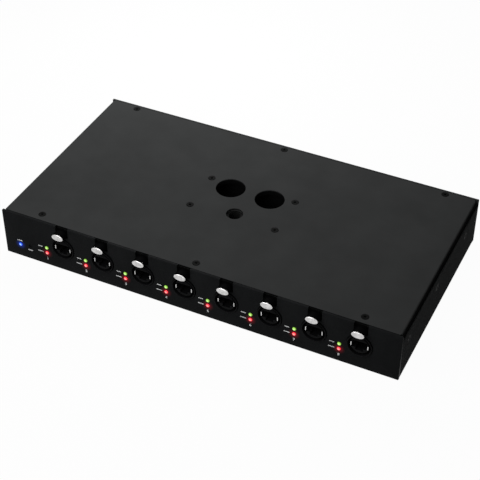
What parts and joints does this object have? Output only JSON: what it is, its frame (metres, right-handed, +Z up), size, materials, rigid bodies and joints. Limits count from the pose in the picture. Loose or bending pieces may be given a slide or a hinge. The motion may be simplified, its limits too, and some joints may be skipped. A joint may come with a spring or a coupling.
{
  "type": "network switch",
  "caption": "Low black steel network switch for stage rigs: a row of round locking network sockets with push latches and lights, and a clamp thread and safety-cable holes in its lid.",
  "frame": {"origin": "middle of the case's base, on the surface it stands on; the latch tabs and the inlet's flange don't count in that middle", "axes": "+X along the front to the right as seen from in front of it, +Y from the front to the rear, +Z up"},
  "size_m": [0.3482, 0.1931, 0.044],
  "materials": {
    "case_paint": "fine matt black powder coat",
    "panel_gloss": "smooth gloss black lacquer",
    "black_plastic": "satin moulded plastic",
    "grey_plastic": "plain moulded plastic",
    "black_screws": "black zinc on steel",
    "plain_aluminium": "plain milled aluminium",
    "satin_nickel": "satin nickel plate",
    "yellow_tape": "wound polyester tape",
    "board_green": "green solder mask",
    "fuse_glass": "clear glass tube",
    "clear_lens": "clear moulded lens",
    "blue_light": "lit blue lens",
    "red_insulation": "cable sheath",
    "brown_insulation": "wire insulation",
    "blue_insulation": "wire insulation",
    "yellow_green_insulation": "wire insulation"
  },
  "bodies": {
    "case": {"cable_channel": "case_paint", "chassis_base": "case_paint", "chip_cooler": "plain_aluminium", "clamp_nut": "black_screws", "cover_screw_1": "black_screws", "cover_screw_2": "black_screws", "cover_screw_3": "black_screws", "cover_screw_4": "black_screws", "cover_screw_5": "black_screws", "cover_screw_6": "black_screws", "earth_wire": "yellow_green_insulation", "front_panel": "panel_gloss", "insulating_sheet": "grey_plastic", "live_wire": "brown_insulation", "main_board": "board_green", "mains_inlet": "black_plastic", "neutral_wire": "blue_insulation", "port_lights_1": "clear_lens", "port_lights_2": "clear_lens", "port_lights_3": "clear_lens", "port_lights_4": "clear_lens", "port_lights_5": "clear_lens", "port_lights_6": "clear_lens", "port_lights_7": "clear_lens", "port_lights_8": "clear_lens", "port_transformers_left": "black_plastic", "port_transformers_right": "black_plastic", "power_light": "blue_light", "rear_panel": "case_paint", "rear_strip": "case_paint", "rigging_plate": "case_paint", "rigging_screw_1": "black_screws", "rigging_screw_2": "black_screws", "rigging_screw_3": "black_screws", "rigging_screw_4": "black_screws", "socket_1": "black_plastic", "socket_2": "black_plastic", "socket_3": "black_plastic", "socket_4": "black_plastic", "socket_5": "black_plastic", "socket_6": "black_plastic", "socket_7": "black_plastic", "socket_8": "black_plastic", "supply_board": "board_green", "supply_cable": "red_insulation", "supply_capacitor": "black_plastic", "supply_cooler": "plain_aluminium", "supply_transformer": "yellow_tape", "top_cover": "case_paint"},
    "rocker_1": {"latch_1": "satin_nickel"},
    "rocker_2": {"latch_2": "satin_nickel"},
    "rocker_3": {"latch_3": "satin_nickel"},
    "rocker_4": {"latch_4": "satin_nickel"},
    "rocker_5": {"latch_5": "satin_nickel"},
    "rocker_6": {"latch_6": "satin_nickel"},
    "rocker_7": {"latch_7": "satin_nickel"},
    "rocker_8": {"latch_8": "satin_nickel"},
    "reset": {"reset_button": "grey_plastic"},
    "drawer": {"fuse_drawer": "black_plastic", "fuse": "fuse_glass"}
  },
  "joints": [
    {"name": "latch_press_1", "type": "hinge", "parent": "case", "child": "rocker_1", "pos_m": [-0.1174, -0.084, 0.03855], "axis": [1, 0, 0], "range_deg": [0, 7], "stiffness_Nm_per_rad": 0.2, "springref_deg": -5.73},
    {"name": "latch_press_2", "type": "hinge", "parent": "case", "child": "rocker_2", "pos_m": [-0.0804, -0.084, 0.03855], "axis": [1, 0, 0], "range_deg": [0, 7], "stiffness_Nm_per_rad": 0.2, "springref_deg": -5.73},
    {"name": "latch_press_3", "type": "hinge", "parent": "case", "child": "rocker_3", "pos_m": [-0.0434, -0.084, 0.03855], "axis": [1, 0, 0], "range_deg": [0, 7], "stiffness_Nm_per_rad": 0.2, "springref_deg": -5.73},
    {"name": "latch_press_4", "type": "hinge", "parent": "case", "child": "rocker_4", "pos_m": [-0.0064, -0.084, 0.03855], "axis": [1, 0, 0], "range_deg": [0, 7], "stiffness_Nm_per_rad": 0.2, "springref_deg": -5.73},
    {"name": "latch_press_5", "type": "hinge", "parent": "case", "child": "rocker_5", "pos_m": [0.0306, -0.084, 0.03855], "axis": [1, 0, 0], "range_deg": [0, 7], "stiffness_Nm_per_rad": 0.2, "springref_deg": -5.73},
    {"name": "latch_press_6", "type": "hinge", "parent": "case", "child": "rocker_6", "pos_m": [0.0676, -0.084, 0.03855], "axis": [1, 0, 0], "range_deg": [0, 7], "stiffness_Nm_per_rad": 0.2, "springref_deg": -5.73},
    {"name": "latch_press_7", "type": "hinge", "parent": "case", "child": "rocker_7", "pos_m": [0.1046, -0.084, 0.03855], "axis": [1, 0, 0], "range_deg": [0, 7], "stiffness_Nm_per_rad": 0.2, "springref_deg": -5.73},
    {"name": "latch_press_8", "type": "hinge", "parent": "case", "child": "rocker_8", "pos_m": [0.1416, -0.084, 0.03855], "axis": [1, 0, 0], "range_deg": [0, 7], "stiffness_Nm_per_rad": 0.2, "springref_deg": -5.73},
    {"name": "reset_press", "type": "slide", "parent": "case", "child": "reset", "axis": [0, 1, 0], "range_m": [0, 0.0008], "stiffness_N_per_m": 1000, "springref_m": -0.0005},
    {"name": "fuse_drawer_slide", "type": "slide", "parent": "case", "child": "drawer", "axis": [0, 1, 0], "range_m": [0, 0.021]}
  ]
}
